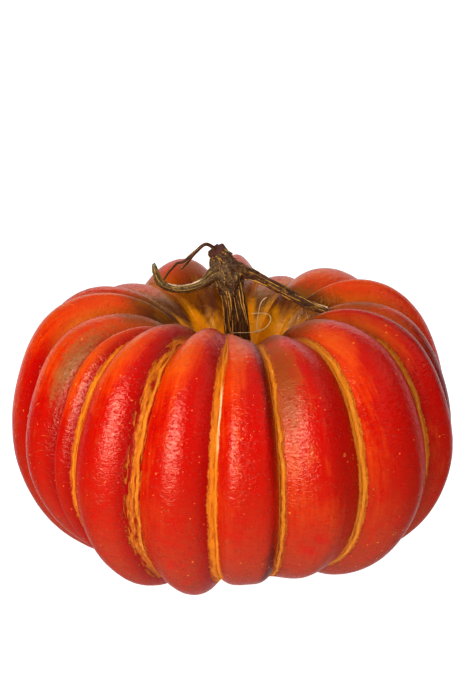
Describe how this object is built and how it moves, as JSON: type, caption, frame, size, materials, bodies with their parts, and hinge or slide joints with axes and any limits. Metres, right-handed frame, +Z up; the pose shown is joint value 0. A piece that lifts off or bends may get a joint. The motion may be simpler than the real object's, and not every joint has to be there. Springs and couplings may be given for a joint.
{
  "type": "pumpkin",
  "caption": "Squat, deep-ribbed red-orange pumpkin with a sunken crown, a ribbed stalk and dried vine and tendrils, lying on its flattened lobes.",
  "frame": {"origin": "middle of the ground plane under the pumpkin: the centre of its box in plan, at the height of its resting patches", "axes": "+Z up, from the blossom end to the stalk; -Y is the front; +X is to the right seen from the front, the way the cut vine points"},
  "size_m": [0.3, 0.2926, 0.2192],
  "materials": {
    "skin": "smooth waxy rind, satin to glossy, red to orange, with corky yellow-orange seams",
    "stalk_bark": "dry, matt, ribbed, dark brown between straw-coloured ridges",
    "vine_bark": "dry, matt, ribbed, brown with ochre ridges and mottling",
    "dry_green": "dry, matt, grooved, grey-green fading to straw",
    "tendril_brown": "dry, wiry, red-brown",
    "pale_fibre": "pale, slightly glossy dried strand"
  },
  "bodies": {
    "root": {"fruit": "skin", "stalk": "stalk_bark", "vine": "vine_bark", "leaf_stalk": "dry_green", "tendril": "tendril_brown", "fibre_loop": "pale_fibre", "fibre_strand": "pale_fibre"}
  },
  "joints": []
}
